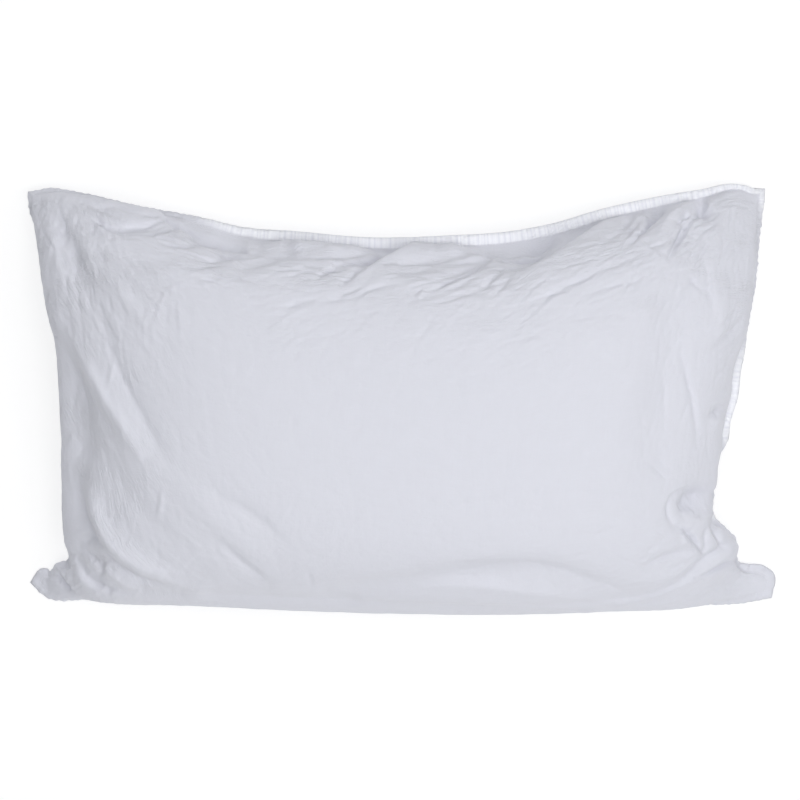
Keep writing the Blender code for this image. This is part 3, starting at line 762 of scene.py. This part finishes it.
@dataclass
class Gathers:
    """The ripples square to the seam, short at the stitching and longer further in."""

    modes: tuple[GatherMode, ...] = (
        GatherMode(8.0, 0.5, 6.0),
        GatherMode(17.0, 0.7, 13.0),
        GatherMode(38.0, 1.0, 28.0),
    )
    at_stitches: float = 0.25  # how strong they are there
    band_wavelength: float = 7.5
    band_rise: float = 0.8
    long_wave: Pair = (2.7, 0.4)  # times the band's wavelength, and its rise
    unevenness: float = 0.32  # of a wave's length
    least: float = 0.15  # the least wave, against the greatest
    seed: int = 11

    def wave(self, run: Grid, length: float, wavelength: float, rng: np.random.Generator) -> Grid:
        """An uneven wave round a closed line, between about -1 and 1.

        Args:
            run: How far each place lies along the line.
            length: The line's whole length.
            wavelength: The wave's usual length.
            rng: Where its unevenness comes from.

        Returns:
            The wave at each place.
        """
        count = 2 * max(2, round(length / wavelength))
        knots = np.arange(count) + rng.uniform(-self.unevenness, self.unevenness, count)
        knots *= length / count
        values = rng.uniform(self.least, 1.0, count) * np.where(np.arange(count) % 2, -1, 1)
        knots = np.concatenate([[knots[-1] - length], knots, [knots[0] + length]])
        values = np.concatenate([values[-1:], values, values[:1]])
        k = np.clip(np.searchsorted(knots, run, side="right") - 1, 0, count)
        t = np.clip((run - knots[k]) / (knots[k + 1] - knots[k]), 0, 1)
        return values[k] + (values[k + 1] - values[k]) * t * t * (3 - 2 * t)

    def waves(self, loop: Grid) -> tuple[list[Grid], Grid]:
        """The ripples round the seam.

        Args:
            loop: The seam's places, with x and y first.

        Returns:
            The wave of each mode, and the sewn edge's own.
        """
        rng = np.random.default_rng(self.seed)
        run = run_along(np.concatenate([loop, loop[:1]]))
        length, run = run[-1], run[:-1]
        waves = [self.wave(run, length, mode.wavelength, rng) * mode.rise for mode in self.modes]
        band = self.wave(run, length, self.band_wavelength, rng) * self.band_rise
        times, rise = self.long_wave
        return waves, band + rise * self.wave(run, length, times * self.band_wavelength, rng)

    def rise(self, places: Grid, waves: list[Grid], strength: Grid) -> Grid:
        """How far the ripples lift each place of a panel.

        Args:
            places: Places, [along, across, 3].
            waves: Each mode's wave round the seam.
            strength: How strong they are round the seam.

        Returns:
            The lift, [along, across].
        """
        run_u, run_v = cloth_runs(places)
        away = (run_v, run_v[:, -1:] - run_v, run_u, run_u[-1:] - run_u)
        lift = np.zeros(run_u.shape)
        for wave, mode in zip(waves, self.modes):
            full, slack, left, right = sides_of(wave * strength, len(lift) - 1, len(lift[0]) - 1)
            for side, run in zip((full[:, None], slack[:, None], left[None], right[None]), away):
                share = run / mode.reach
                lift += side * (self.at_stitches + share) * np.exp(-share)
        return lift


@dataclass
class SewnEdge:
    """The band outside the topstitching: both panels' allowances, turned in and pressed flat."""

    width: float = 8.0
    # How wide it stands along the slack side, at each x.
    slack_widths: str = "-200,9.5 -60,11 120,11.5 220,11 290,9 318,7 335,5"
    slack_start: Pair = (120.0, 150.0)  # it widens between these y
    drop: float = 6.5
    lean: float = 3.0
    face_rows: tuple[float, ...] = (0.22, 0.62, 1.0)  # shares of the width
    back_rows: tuple[float, ...] = (0.45, 1.0)
    plump: float = 1.3  # how much thicker it is in its middle than at the stitches
    rim_thickness: float = 1.6
    rippled_share: float = 0.75  # past this share of the width its ripples no longer fade

    def widths(self, seam_loop: Grid) -> Grid:
        """How wide the band is.

        Args:
            seam_loop: The seam's rows in a loop.

        Returns:
            Its width at each place.
        """
        standing = np.interp(seam_loop[:, 0], *places_in(self.slack_widths).T)
        start, end = self.slack_start
        slack = np.clip((seam_loop[:, 1] - start) / (end - start), 0, 1)
        return self.width + (standing - self.width) * slack

    def row(self, seam_loop: Grid, normals: Grid, share: float, wave: Grid, upper: bool) -> Grid:
        """One line of places along the band.

        Args:
            seam_loop: The seam's rows in a loop.
            normals: Its level outward normals.
            share: The line's share of the band's width.
            wave: The band's own ripples.
            upper: Whether it is on the face's side.

        Returns:
            The places.
        """
        hanging = (1 - seam_loop[:, BAND]) * np.pi / 2
        out = share * (self.widths(seam_loop) * np.cos(hanging) + self.lean * np.sin(hanging))
        line = seam_loop[:, :3].copy()
        line[:, :2] += normals * out[:, None]
        line[:, 2] -= share * self.drop * np.sin(hanging)
        over = np.concatenate([normals * np.sin(hanging)[:, None], np.cos(hanging)[:, None]], axis=1)
        half = self.rim_thickness / 2 + self.plump * 4 * share * (1 - share)
        ripple = wave * np.sin(np.pi * min(share, self.rippled_share))
        return line + over * ((half if upper else -half) + ripple)[:, None]


class EmptyCorner(NamedTuple):
    """A corner that the filling doesn't reach."""

    x: float
    y: float
    reach: float
    loss: float  # the share of the crown that is missing at its tip


@dataclass
class FilledCase:
    """The pillowcase with its pillow: face, back and sewn edge as one closed cloth."""

    name: str = "pillowcase_cloth"
    sheet: Pair = (0.75, 0.5)  # metres, one panel laid flat
    face_corner: Pair = (0.01, 0.01)  # metres, where its panel lies on the flat cloth
    back_corner: Pair = (0.01, 0.54)
    seam_thickness: float = 1.6
    crown_height: float = 94.0
    empty_corners: tuple[EmptyCorner, ...] = (
        EmptyCorner(-375, -199, 46, 0.75),
        EmptyCorner(372, -205, 58, 0.8),
        EmptyCorner(-371, 205, 50, 0.4),
        EmptyCorner(354, 201, 50, 0.5),
    )
    long_power: float = 4.2
    short_power: float = 2.7
    slack_power: float = 6.4
    edge_power: float = 0.5
    slump: float = 0.1
    # Shares of the crown. Past the first the back lies flat. Below the others the wall rolls out
    # past the seam, and the folds, the finer creases and the crinkles run out towards it.
    floor_share: float = 0.8
    roll_share: float = 0.5
    fold_share: float = 0.25
    crease_share: float = 0.12
    crinkle_share: float = 0.15
    least_crinkle: float = 0.2  # what is left of a crinkle at the seam
    back_power: float = 1.9
    cells_along: int = 360
    cells_across: int = 236
    crowd_along: Triple = (0.8, 0.8, 0.12)  # how crowded they are at each end, and its reach
    crowd_across: Triple = (0.8, 1.8, 0.2)
    back_step: int = 4  # cells of the face to one of the back
    crispness: float = 0.8
    shade_offset: float = 0.45  # widths from a crease's floor to its darkest place
    gathering: Pair = (0.3, 0.4)  # at a hanging edge, and what a standing one adds
    # Painted light and shade: the edge's whiter look is laid where it stands out into the light, and left
    # off, at the cloth's darker colour, where it hangs down and along the full side.
    lit_white_band: Pair = (0.2, 0.8)  # the edge shows whiter as it comes to stand from one to the other
    lit_white_from: float = -150.0  # and only past this y
    seam_run: str = "seam_run"
    # The attribute for how far out a place lies on the sewn edge, times that whiter look, which is partly
    # painted light.
    lit_edge_share: str = "lit_edge_share"

    def crown_share(self, u: Grid, v: Grid, seam: Grid) -> Grid:
        """How full the case is, from 0 at the seam to 1: flat in the middle, thin in the corners.

        Args:
            u: Shares along it.
            v: Shares across it.
            seam: The level surface inside the seam.

        Returns:
            The share at each place, [along, across].
        """
        along = 1 - np.abs(2 * u - 1)[:, None] ** self.long_power
        half = 2 * v - 1
        half = half + self.slump * (1 - half**2)
        across = 1 - np.abs(half)[None, :] ** np.where(half > 0, self.slack_power, self.short_power)
        full = (np.clip(along, 0, 1) * np.clip(across, 0, 1)) ** self.edge_power
        for corner in self.empty_corners:
            away = np.hypot(seam[..., 0] - corner.x, seam[..., 1] - corner.y)
            full = full * (1 - corner.loss * np.exp(-((away / corner.reach) ** 2)))
        return full

    def crease_rise(self, face: Grid) -> Grid:
        """How far the finer creases lift the face.

        Their lines were read where each crease shows darkest, or a ridge lightest, and that is on
        its slope towards the light.

        Args:
            face: The face's places, [along, across, 3].

        Returns:
            The lift, [along, across].
        """
        right, up = Viewpoint().seen(face)
        pressing = Pressing(self.crispness)
        lift = np.zeros_like(right)
        for crease in FINE_CREASES:
            shade_x, shade_y = self.shade_offset * crease.width * np.array(pressing.light_side)
            lift += pressing.lift(crease, right + shade_x, up + shade_y)
        return lift

    def shape(self) -> None:
        """Works out the face, the back and the sewn edge, as grids and lines of places."""
        u = crowded(self.cells_along, *self.crowd_along)
        v = crowded(self.cells_across, *self.crowd_across)
        seam_line = SeamLine()
        seam, rolling = seam_line.surface(u, v)
        full = self.crown_share(u, v, seam)
        wall = np.clip(full / self.roll_share, 0, 1)
        face = seam[..., :3].copy()
        face[..., :2] += rolling * (4 * wall * (1 - wall))[..., None]
        face[..., 2] += self.seam_thickness / 2 + self.crown_height * full
        round_backed = Pressing(0.0)
        folds = sum(round_backed.lift(fold, face[..., 0], face[..., 1]) for fold in MAIN_FOLDS)
        face += grid_normals(face) * (folds * np.clip(full / self.fold_share, 0, 1))[..., None]
        creases = self.crease_rise(face)
        face += grid_normals(face) * (creases * np.clip(full / self.crease_share, 0, 1))[..., None]

        loop = loop_of(seam)
        gathers = Gathers()
        waves, band_wave = gathers.waves(loop)
        hanging, added = self.gathering
        normals = grid_normals(face)
        ripples = gathers.rise(face, waves, hanging + added * loop[:, BAND])
        crinkles = Crinkles().rise(face, normals)
        crinkles *= np.clip(full / self.crinkle_share, self.least_crinkle, 1)
        self.face = face + normals * (ripples + crinkles)[..., None]

        back = seam[..., :3].copy()
        back[..., 2] -= self.seam_thickness / 2
        back[..., 2] *= (1 - np.clip(full / self.floor_share, 0, 1)) ** self.back_power
        self.back = back[:: self.back_step, :: self.back_step]

        edge = SewnEdge()
        out = outward_normals(loop, seam_line.sharpest_corner)
        self.face_band = [edge.row(loop, out, share, band_wave, True) for share in edge.face_rows]
        rows = [edge.row(loop, out, share, band_wave, False) for share in edge.back_rows]
        self.back_band = [row[:: self.back_step] for row in rows]
        self.seam = loop
        self.outward = out
        # The sewn edge's whiter look, partly its layers and partly painted light, goes only where it
        # stands out and away from the full side.
        low, high = self.lit_white_band
        standing = np.clip((loop[:, BAND] - low) / (high - low), 0, 1)
        self.lit_whiteness = standing * (loop[:, 1] > self.lit_white_from)

    def underside(self) -> Grid:
        """The stitched line on the back."""
        return self.seam[:, :3] - (0.0, 0.0, self.seam_thickness / 2)

    def panel(self, mesh: bmesh.types.BMesh, places: Grid, band: list[Grid], corner: Pair) -> list:
        """Adds one panel with its half of the sewn edge.

        Args:
            mesh: Where it goes.
            places: The panel's grid of places.
            band: The lines of the sewn edge, from the panel outwards.
            corner: Where the panel's first corner lies on the flat cloth, in metres.

        Returns:
            The edges of its outer rim.
        """
        seam_place = mesh.verts.layers.int["seam_place"]
        layers = mesh.verts.layers.float
        cloth_u, cloth_v = layers["cloth_u"], layers["cloth_v"]
        seam_run, lit_edge_share = layers[self.seam_run], layers[self.lit_edge_share]
        along, across = places.shape[0] - 1, places.shape[1] - 1
        made = bmesh.ops.create_grid(mesh, x_segments=along, y_segments=across, size=0.5)["verts"]
        cells = np.arange(places.shape[0] * places.shape[1]).reshape(places.shape[:2])
        number = {cell: k for k, cell in enumerate(loop_of(cells).tolist())}
        run_u, run_v = cloth_runs(places)
        flat_u = corner[0] + self.sheet[0] * run_u / run_u[-1:]
        flat_v = corner[1] + self.sheet[1] * run_v / run_v[:, -1:]
        stride = len(self.seam) // len(number)
        run = run_along(self.seam)[::stride] * MM
        for vert in made:
            i, j = round((vert.co.x + 0.5) * along), round((vert.co.y + 0.5) * across)
            vert[seam_place] = number.get(int(cells[i, j]), -1)
            vert[cloth_u], vert[cloth_v] = flat_u[i, j], flat_v[i, j]
            vert.co = places[i, j] * MM
            if vert[seam_place] >= 0:
                vert[seam_run] = run[vert[seam_place]]
        around = (edge for vert in made for edge in vert.link_edges if edge.is_boundary)
        border = list(dict.fromkeys(around))
        flat = loop_of(np.stack([flat_u, flat_v], axis=2))
        out = outward_normals(flat, 1.0) * SewnEdge().width * MM
        for k, row in enumerate(band, start=1):
            drawn = bmesh.ops.extrude_edge_only(mesh, edges=border)["geom"]
            share = k / len(band)
            for vert in (item for item in drawn if isinstance(item, bmesh.types.BMVert)):
                place = vert[seam_place]
                vert.co = row[place] * MM
                vert[cloth_u], vert[cloth_v] = flat[place] + out[place] * share
                # Painted light: how far out on the sewn edge, kept only where the edge gets its whiter
                # look.
                vert[lit_edge_share] = share * self.lit_whiteness[place * stride]
            border = [item for item in drawn if isinstance(item, bmesh.types.BMEdge) and item.is_boundary]
        return border

    def sewn(self) -> bpy.types.Object:
        """Sews the shaped panels into one closed cloth.

        Returns:
            The piece.
        """
        mesh = bmesh.new()
        mesh.verts.layers.int.new("seam_place")
        for layer in ("cloth_u", "cloth_v", self.seam_run, self.lit_edge_share):
            mesh.verts.layers.float.new(layer)
        cloth_u, cloth_v = mesh.verts.layers.float["cloth_u"], mesh.verts.layers.float["cloth_v"]
        face_rim = self.panel(mesh, self.face, self.face_band, self.face_corner)
        back_rim = self.panel(mesh, self.back, self.back_band, self.back_corner)
        split = bmesh.ops.subdivide_edges(mesh, edges=back_rim, cuts=self.back_step - 1)["geom_split"]
        back_rim = [item for item in split if isinstance(item, bmesh.types.BMEdge)]
        bmesh.ops.bridge_loops(mesh, edges=face_rim + back_rim)
        bmesh.ops.recalc_face_normals(mesh, faces=mesh.faces)
        uv = mesh.loops.layers.uv.new("cloth")
        for corner in (corner for face in mesh.faces for corner in face.loops):
            place = Vector((corner.vert[cloth_u], corner.vert[cloth_v]))
            corner[uv].uv = place / WashedCotton.metres_per_uv
        case = placed(mesh, self.name)
        for spare in ("seam_place", "cloth_u", "cloth_v"):
            case.data.attributes.remove(case.data.attributes[spare])
        case.data.shade_smooth()
        return case

    def dress(self, case: bpy.types.Object) -> None:
        """Gives the case its cotton and says what it stands for.

        Args:
            case: The sewn piece.
        """
        cotton = WashedCotton().material("washed_cotton", self.seam_run, self.lit_edge_share)
        case.data.materials.append(cotton)
        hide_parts("filled_case")
        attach(case, "root")


@dataclass
class Finish:
    """Builds one material's nodes."""

    name: str

    def __post_init__(self) -> None:
        """Makes the empty material."""
        self.material = bpy.data.materials.new(self.name)
        self.material.use_nodes = True
        self.tree = self.material.node_tree
        self.shader = self.tree.nodes["Principled BSDF"]

    def set(self, values: dict[str, object]) -> None:
        """Sets inputs of the shader by name, to values or from sockets."""
        self.fill(self.shader, values)

    def fill(self, node: bpy.types.Node, values: dict) -> None:
        """Sets a node's inputs.

        Args:
            node: The node.
            values: Values or sockets, by the inputs' names or numbers.
        """
        for name, value in values.items():
            if isinstance(value, NodeSocket):
                self.tree.links.new(value, node.inputs[name])
            else:
                node.inputs[name].default_value = value

    def node(self, kind: str, inputs: dict, output: str | int = 0, **settings: object) -> NodeSocket:
        """Adds a node.

        Args:
            kind: Its type, without the ShaderNode that they all start with.
            inputs: Values or sockets for its inputs, by name or number.
            output: Which of its outputs is wanted.
            **settings: Its own settings.

        Returns:
            That output.
        """
        made = self.tree.nodes.new("ShaderNode" + kind)
        for name, value in settings.items():
            setattr(made, name, value)
        self.fill(made, inputs)
        return made.outputs[output]

    def math(self, operation: str, *values: NodeSocket | float) -> NodeSocket:
        """A sum, a product or another reckoning of values or sockets."""
        return self.node("Math", dict(enumerate(values)), operation=operation)

    def step(self, value: NodeSocket, low: float, high: float) -> NodeSocket:
        """0 where a value is low or beyond, 1 where it is high or beyond, and even between them."""
        return self.node("MapRange", {"Value": value, 1: low, 2: high})

    def mixed(self, share: NodeSocket, first: object, second: object) -> NodeSocket:
        """Two colours or sockets mixed: the first at a share of 0, the second at 1."""
        first, second = (item if isinstance(item, NodeSocket) else (*item, 1) for item in (first, second))
        return self.node("Mix", {"Factor": share, 6: first, 7: second}, 2, data_type="RGBA")

    def press(self, *layers: tuple[NodeSocket, float, float]) -> None:
        """Presses bumps into the finish, each over the last.

        Args:
            *layers: Each one's height, its depth in metres and its strength.
        """
        below = {}
        for height, depth, strength in layers:
            inputs = {"Height": height, "Distance": depth, "Strength": strength, **below}
            below = {"Normal": self.node("Bump", inputs)}
        self.set(below)


class Speckle(NamedTuple):
    """A noise on the cloth."""

    along: float  # its scale for each metre along the cloth
    across: float
    detail: float
    roughness: float


@dataclass(frozen=True)
class WashedCotton:
    """Plain-woven white cotton, washed soft: fine threads with slubs, faint crinkles and a dull nap.

    Its four layers in the sewn edge show whiter than the single cloth over the filling, and that whiter
    colour is lifted further as painted light, laid only where the edge stands out;
    ticks run across them where the stitching draws them in, coloured darker as painted shade in the
    puckers. A bump is its depth in metres and its strength.
    """

    colour: Triple = (0.745, 0.75, 0.815)
    shadow_tint: Triple = (0.715, 0.717, 0.775)
    # Partly the four layers' own whiteness, partly painted light that lifts the sewn edge against the
    # shade of the recess it lies in.
    edge_and_light_colour: Triple = (0.92, 0.925, 0.965)
    # Painted shade: the ticks are darker where the stitching draws the edge into puckers.
    tick_shade_colour: Triple = (0.83, 0.835, 0.895)
    roughness: float = 0.92
    gloss: float = 0.25
    nap: float = 0.2
    nap_roughness: float = 0.5
    thread_pitch: float = 0.0009  # metres from one thread to the next but one
    weave_bump: Pair = (0.00003, 0.6)
    warp_slub: Speckle = Speckle(1100.0, 26.0, 2.0, 0.6)
    weft_slub: Speckle = Speckle(30.0, 1000.0, 2.0, 0.6)
    slub_bump: Pair = (0.0002, 0.5)
    crumple: Speckle = Speckle(120.0, 150.0, 4.0, 0.6)
    crumple_bump: Pair = (0.0010, 0.45)
    pebble: Speckle = Speckle(420.0, 380.0, 2.0, 0.5)
    pebble_bump: Pair = (0.0003, 0.5)
    wrinkle: Pair = (0.024, 0.0034)  # metres, how long and wide a fine wrinkle is
    wrinkle_flank: float = 0.12  # how far from its middle its noise is out of it
    wrinkle_bump: Pair = (0.0006, 0.7)
    patch: Speckle = Speckle(13.0, 22.0, 2.0, 0.6)
    patch_range: Pair = (0.42, 0.6)  # of the patches' noise, from no fine wrinkles to all of them
    slack_heading: float = 13.0  # degrees, the way the fine wrinkles run by the slack side
    slack_zone: Pair = (0.33, 0.42)  # metres across the cloth, from where they start to all of them
    end_heading: float = -64.0  # and by the left end
    end_zone: Pair = (0.22, 0.10)
    tick_spacing: float = 0.0030  # metres, usual
    tick_range: Pair = (0.3, 0.6)  # of their noise, from a tick to the cloth between
    tick_bump: Pair = (0.0005, 0.5)
    edge_start: Pair = (0.0, 0.2)  # shares of the sewn edge over which its look sets in
    blotch: Speckle = Speckle(60.0, 70.0, 3.0, 0.5)
    slub_tone: float = 0.7  # how much the slubs and the blotches make of the tone
    blotch_tone: float = 0.3
    tone_range: Pair = (0.2, 0.7)  # from the shadow's tint to the colour
    metres_per_uv: float = 1.25

    def material(self, name: str, seam_run: str, lit_edge_share: str) -> bpy.types.Material:
        """Builds it.

        Args:
            name: The material's name.
            seam_run: The attribute that holds how far a place lies along the seam, in metres.
            lit_edge_share: The one that holds how far out it lies on the sewn edge, from 0 to 1, where the
                edge gets its whiter look, which is partly painted light.

        Returns:
            The material.
        """
        finish = Finish(name)
        finish.set({
            "Roughness": self.roughness,
            "Metallic": 0.0,
            "Specular IOR Level": self.gloss,
            "Sheen Weight": self.nap,
            "Sheen Roughness": self.nap_roughness,
        })
        flat = finish.node("UVMap", {}, uv_map="cloth")
        cloth = finish.node("Mapping", {"Vector": flat, "Scale": (self.metres_per_uv,) * 3})

        def noise(kind: Speckle) -> NodeSocket:
            """Lays a noise on the flat cloth.

            Args:
                kind: Its sizes.

            Returns:
                Its value.
            """
            places = finish.node("Mapping", {"Vector": cloth, "Scale": (kind.along, kind.across, 1.0)})
            grain = {"Scale": 1.0, "Detail": kind.detail, "Roughness": kind.roughness}
            return finish.node("TexNoise", {"Vector": places} | grain)

        def wrinkles(heading: float, near: NodeSocket) -> NodeSocket:
            """Fine sharp wrinkles.

            Args:
                heading: The way they run, in degrees.
                near: Where they lie: 1 for all of them, 0 for none.

            Returns:
                1 on the open cloth and 0 in a wrinkle.
            """
            turned = {"Vector": cloth, "Rotation": (0.0, 0.0, np.radians(heading))}
            along = finish.node("Mapping", turned | {"Scale": (*self.wrinkle, 1.0)}, vector_type="TEXTURE")
            crumpling = {"Scale": 1.0, "Detail": 3.0, "Roughness": 0.6, "Distortion": 0.4}
            wave = finish.node("TexNoise", {"Vector": along} | crumpling)
            off = finish.math("ABSOLUTE", finish.math("SUBTRACT", wave, 0.5))
            return finish.math("MULTIPLY", finish.step(off, 0.0, self.wrinkle_flank), near)

        x = finish.node("SeparateXYZ", {"Vector": cloth})
        y = x.node.outputs[1]
        turn = 2 * np.pi / self.thread_pitch
        threads = [finish.math("SINE", finish.math("MULTIPLY", place, turn)) for place in (x, y)]
        weave = finish.math("MULTIPLY", *threads)
        slubs = finish.math("ADD", noise(self.warp_slub), noise(self.weft_slub))
        slubs = finish.math("MULTIPLY", slubs, 0.5)

        by_slack = wrinkles(self.slack_heading, finish.step(y, *self.slack_zone))
        by_end = wrinkles(self.end_heading, finish.step(x, *self.end_zone))
        patchy = finish.step(noise(self.patch), *self.patch_range)
        fine = finish.math("MULTIPLY", finish.math("ADD", by_slack, by_end), patchy)

        run = finish.node("Attribute", {}, "Fac", attribute_name=seam_run)
        # Where the sewn edge takes its whiter look, which is partly painted light.
        outward = finish.node("Attribute", {}, "Fac", attribute_name=lit_edge_share)
        edge_and_light = finish.step(outward, *self.edge_start)
        ticks = {"W": run, "Scale": 1 / self.tick_spacing, "Detail": 2.0}
        ticks = finish.step(finish.node("TexNoise", ticks, noise_dimensions="1D"), *self.tick_range)

        finish.press(
            (noise(self.crumple), *self.crumple_bump),
            (fine, *self.wrinkle_bump),
            (noise(self.pebble), *self.pebble_bump),
            (slubs, *self.slub_bump),
            (weave, *self.weave_bump),
            (finish.math("MULTIPLY", ticks, edge_and_light), *self.tick_bump),
        )

        blotched = finish.math("MULTIPLY", noise(self.blotch), self.blotch_tone)
        tone = finish.math("MULTIPLY_ADD", slubs, self.slub_tone, blotched)
        tone = finish.step(tone, *self.tone_range)
        single = finish.mixed(tone, self.shadow_tint, self.colour)
        # The sewn edge: whiter for its layers and, as painted light, where it stands out; its ticks darker
        # as painted shade.
        layered_and_lit = finish.mixed(ticks, self.tick_shade_colour, self.edge_and_light_colour)
        finish.set({"Base Color": finish.mixed(edge_and_light, single, layered_and_lit)})
        return finish.material


@dataclass(frozen=True)
class SewingThread:
    """Two-ply white cotton thread with a soft lustre."""

    colour: Triple = (0.77, 0.77, 0.83)
    lit_colour: Triple = (0.82, 0.82, 0.87)
    roughness: float = 0.6
    gloss: float = 0.35
    ply: float = 1800.0  # turns of the plies over a metre, times pi
    ply_bump: Pair = (0.0001, 0.6)

    def material(self, name: str) -> bpy.types.Material:
        """Builds it.

        Args:
            name: The material's name.

        Returns:
            The material.
        """
        finish = Finish(name)
        places = finish.node("TexCoord", {}, "Object")
        plies = finish.node("TexNoise", {"Vector": places, "Scale": self.ply, "Detail": 2.0})
        lustre = finish.mixed(plies, self.colour, self.lit_colour)
        finish.set({"Roughness": self.roughness, "Metallic": 0.0, "Specular IOR Level": self.gloss})
        finish.set({"Base Color": lustre})
        finish.press((plies, *self.ply_bump))
        return finish.material


@dataclass
class Topstitching:
    """The line of stitches at the base of the sewn edge, on the face and on the back."""

    name: str = "topstitch_thread"
    pitch: float = 3.3
    stitch: float = 2.6  # one stitch's length
    thread: float = 0.45  # its diameter
    proud: float = 0.03  # how far its middle stands over the cloth

    def sew(self, case: FilledCase) -> bpy.types.Object:
        """Lays the stitches along a shaped case's seam.

        Args:
            case: The case.

        Returns:
            The piece.
        """
        mesh = bmesh.new()
        level = np.concatenate([case.outward, np.zeros((len(case.outward), 1))], axis=1)
        level /= np.linalg.norm(level, axis=1)[:, None]
        for line, upward in ((loop_of(case.face), 1.0), (case.underside(), -1.0)):
            lift = level + (0.0, 0.0, upward)
            lift /= np.linalg.norm(lift, axis=1)[:, None]
            route = np.concatenate([line, line[:1]]) + self.proud * np.concatenate([lift, lift[:1]])
            run = np.concatenate([[0.0], np.cumsum(np.linalg.norm(np.diff(route, axis=0), axis=1))])
            count = int(run[-1] / self.pitch)
            for start in np.arange(count) * run[-1] / count:
                both = (start, start + self.stitch)
                ends = np.stack([np.interp(both, run, column) for column in route.T], axis=1)
                self.lay(mesh, Vector(ends[0]), Vector(ends[1]))
        stitches = placed(mesh, self.name)
        stitches.data.shade_smooth()
        return stitches

    def lay(self, mesh: bmesh.types.BMesh, start: Vector, end: Vector) -> None:
        """Adds one stitch, a plump spindle.

        Args:
            mesh: Where it goes.
            start: Its first end.
            end: Its last.
        """
        turn = (end - start).to_track_quat("X", "Z").to_matrix().to_4x4()
        size = Matrix.Diagonal(((end - start).length / 2, self.thread / 2, self.thread / 2, 1.0))
        place = Matrix.Translation((start + end) / 2 * MM) @ turn @ Matrix.Scale(MM, 4) @ size
        bmesh.ops.create_icosphere(mesh, subdivisions=1, radius=1.0, matrix=place)

    def dress(self, stitches: bpy.types.Object) -> None:
        """Gives the stitches their thread and lets them ride with the case.

        Args:
            stitches: The sewn piece.
        """
        stitches.data.materials.append(SewingThread().material("sewing_thread"))
        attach(stitches, "root")


@dataclass(frozen=True)
class PaleFloor:
    """A plain, nearly white floor."""

    grey: float = 0.4
    glow: float = 0.66

    def material(self, name: str) -> bpy.types.Material:
        """Builds it.

        Args:
            name: The material's name.

        Returns:
            The material.
        """
        finish = Finish(name)
        finish.set({"Base Color": (self.grey, self.grey, self.grey, 1), "Roughness": 1.0})
        finish.set({"Specular IOR Level": 0.0})
        finish.set({"Emission Color": (1, 1, 1, 1), "Emission Strength": self.glow})
        return finish.material


class Falls(Enum):
    """Where a soft box's light comes from, in metres over the case."""

    ABOVE = (0.0, 0.0, 3.2)
    RIGHT = (1.5, 0.0, 2.0)
    SLACK_SIDE = (0.0, 1.8, 1.6)
    FULL_SIDE = (0.3, -2.2, 0.9)


@dataclass
class SoftBox:
    """One square, soft studio light."""

    falls: Falls
    side: float
    watts: float

    def hang(self) -> None:
        """Puts it up, turned to the case."""
        light = bpy.data.lights.new(f"soft_box_{self.falls.name.lower()}", "AREA")
        light.shape = "SQUARE"
        light.size = self.side
        light.energy = self.watts
        lamp = bpy.data.objects.new(light.name, light)
        lamp.location = self.falls.value
        lamp.rotation_euler = (-Vector(self.falls.value)).to_track_quat("-Z", "Y").to_euler()
        bpy.context.scene.collection.objects.link(lamp)


@dataclass
class Studio:
    """The floor, the lights and the camera."""

    floor_side: float = 14.0  # metres
    ambient: float = 0.18
    sky: Triple = (0.90, 0.95, 1.0)
    viewpoint: Viewpoint = Viewpoint()
    lens: float = 112.5
    sensor: float = 36.0
    farthest: float = 50.0  # metres
    boxes: tuple[SoftBox, ...] = (
        SoftBox(Falls.ABOVE, 2.6, 57.0),
        SoftBox(Falls.RIGHT, 1.2, 12.0),
        SoftBox(Falls.SLACK_SIDE, 1.2, 9.5),
        SoftBox(Falls.FULL_SIDE, 1.2, 9.5),
    )

    def lay_floor(self) -> None:
        """Lays the pale floor under the case."""
        mesh = bmesh.new()
        bmesh.ops.create_grid(mesh, x_segments=1, y_segments=1, size=self.floor_side / 2)
        floor = placed(mesh, "floor")
        floor.data.materials.append(PaleFloor().material("pale_floor"))

    def light(self) -> None:
        """Puts up the lights and the room's own soft light."""
        world = bpy.data.worlds.new("room")
        world.use_nodes = True
        background = world.node_tree.nodes["Background"]
        background.inputs["Color"].default_value = (*self.sky, 1)
        background.inputs["Strength"].default_value = self.ambient
        bpy.context.scene.world = world
        for box in self.boxes:
            box.hang()

    def place_camera(self) -> None:
        """Sets the camera at the photograph's angle, with its frame."""
        data = bpy.data.cameras.new("camera")
        data.lens, data.sensor_width = self.lens, self.sensor
        data.clip_end = self.farthest
        camera = bpy.data.objects.new("camera", data)
        view = self.viewpoint
        camera.location = Vector(np.array(view.aim) + view.backward() * view.distance) * MM
        camera.rotation_euler = (-np.radians(view.tilt), 0.0, 0.0)
        bpy.context.scene.collection.objects.link(camera)
        bpy.context.scene.camera = camera
        bpy.context.scene.view_settings.view_transform = "Standard"


def main() -> None:
    """Builds the pieces in order, dresses them, and sets the stage."""
    logging.basicConfig(level=logging.INFO, format="%(name)s: %(message)s")
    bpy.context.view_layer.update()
    case = FilledCase()
    case.shape()
    cloth = case.sewn()
    case.dress(cloth)
    log.info("%s: %d faces", cloth.name, len(cloth.data.polygons))
    topstitching = Topstitching()
    stitches = topstitching.sew(case)
    topstitching.dress(stitches)
    log.info("%s: %d faces", stitches.name, len(stitches.data.polygons))
    studio = Studio()
    studio.lay_floor()
    studio.light()
    studio.place_camera()


if __name__ == "__main__":
    main()
